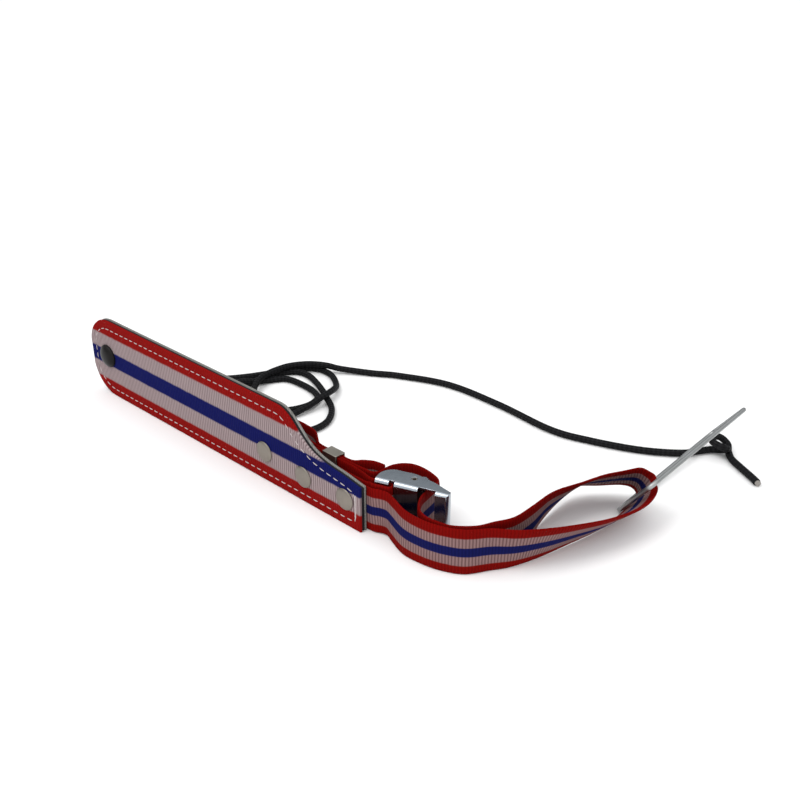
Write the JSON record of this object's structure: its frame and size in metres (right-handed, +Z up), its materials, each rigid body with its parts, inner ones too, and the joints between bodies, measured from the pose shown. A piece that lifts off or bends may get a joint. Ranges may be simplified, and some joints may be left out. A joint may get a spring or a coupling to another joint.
{
  "type": "cuff_sling",
  "caption": "Padded red, white and blue striped cuff with a webbing strap, cam buckle, plated keeper, wire link and a black shock cord tied to the link",
  "frame": {"origin": "on the ground under the middle of the hard parts' box", "axes": "+Z up, +X to the right along the object's longest run, +Y away from the cuff's striped face"},
  "size_m": [0.3818, 0.2197, 0.05],
  "materials": {
    "webbing_wide": "striped ribbed polypropylene webbing, 50 mm",
    "core": "dark stiffening felt",
    "lining": "grey woven lining",
    "thread": "white polyester thread",
    "plated": "nickel plate, lightly dulled",
    "black_cap": "black snap cap",
    "webbing_narrow": "striped ribbed webbing, 25 mm",
    "polished": "polished nickel-plated steel",
    "link_steel": "drawn stainless wire",
    "braid": "black braided cover",
    "cord_core": "pale rubber strands"
  },
  "bodies": {
    "sling": {"cuff_webbing": "webbing_wide", "cuff_core": "core", "cuff_lining": "lining", "cuff_stitching": "thread", "rivet_caps": "plated", "rivet_posts": "plated", "stop_cap": "black_cap", "stop_post": "plated", "stop_washer": "black_cap", "strap_fixed_end": "webbing_narrow", "strap_front_leg": "webbing_narrow", "strap_loop_end": "webbing_narrow", "strap_rear_leg": "webbing_narrow", "strap_threaded": "webbing_narrow", "strap_tail_front": "webbing_narrow", "strap_tail_fold": "webbing_narrow", "strap_tail_end": "webbing_narrow", "anchor_riveted": "webbing_narrow", "anchor_bar_loop": "webbing_narrow", "anchor_return": "webbing_narrow", "buckle_frame": "polished", "cam_pin": "plated", "cam_spring": "plated", "shock_cord": "braid", "cord_knot": "braid", "cord_core_end": "cord_core"},
    "cam": {"cam_lever": "polished"},
    "keeper": {"keeper_band": "plated"},
    "link": {"steel_link": "link_steel"}
  },
  "joints": [
    {"name": "cam_hinge", "type": "hinge", "parent": "sling", "child": "cam", "pos_m": [0.00767, -0.06223, 0.015], "axis": [0, 0, 1], "range_deg": [0, 30], "stiffness_Nm_per_rad": 0.05},
    {"name": "keeper_slide", "type": "slide", "parent": "sling", "child": "keeper", "axis": [0.7242, -0.6896, 0], "range_m": [-0.005, 0.005]},
    {"name": "link_swing", "type": "hinge", "parent": "sling", "child": "link", "pos_m": [0.11045, -0.05, 0.0019], "axis": [0.4191, -0.4395, 0.7944], "range_deg": [0, 12]}
  ]
}
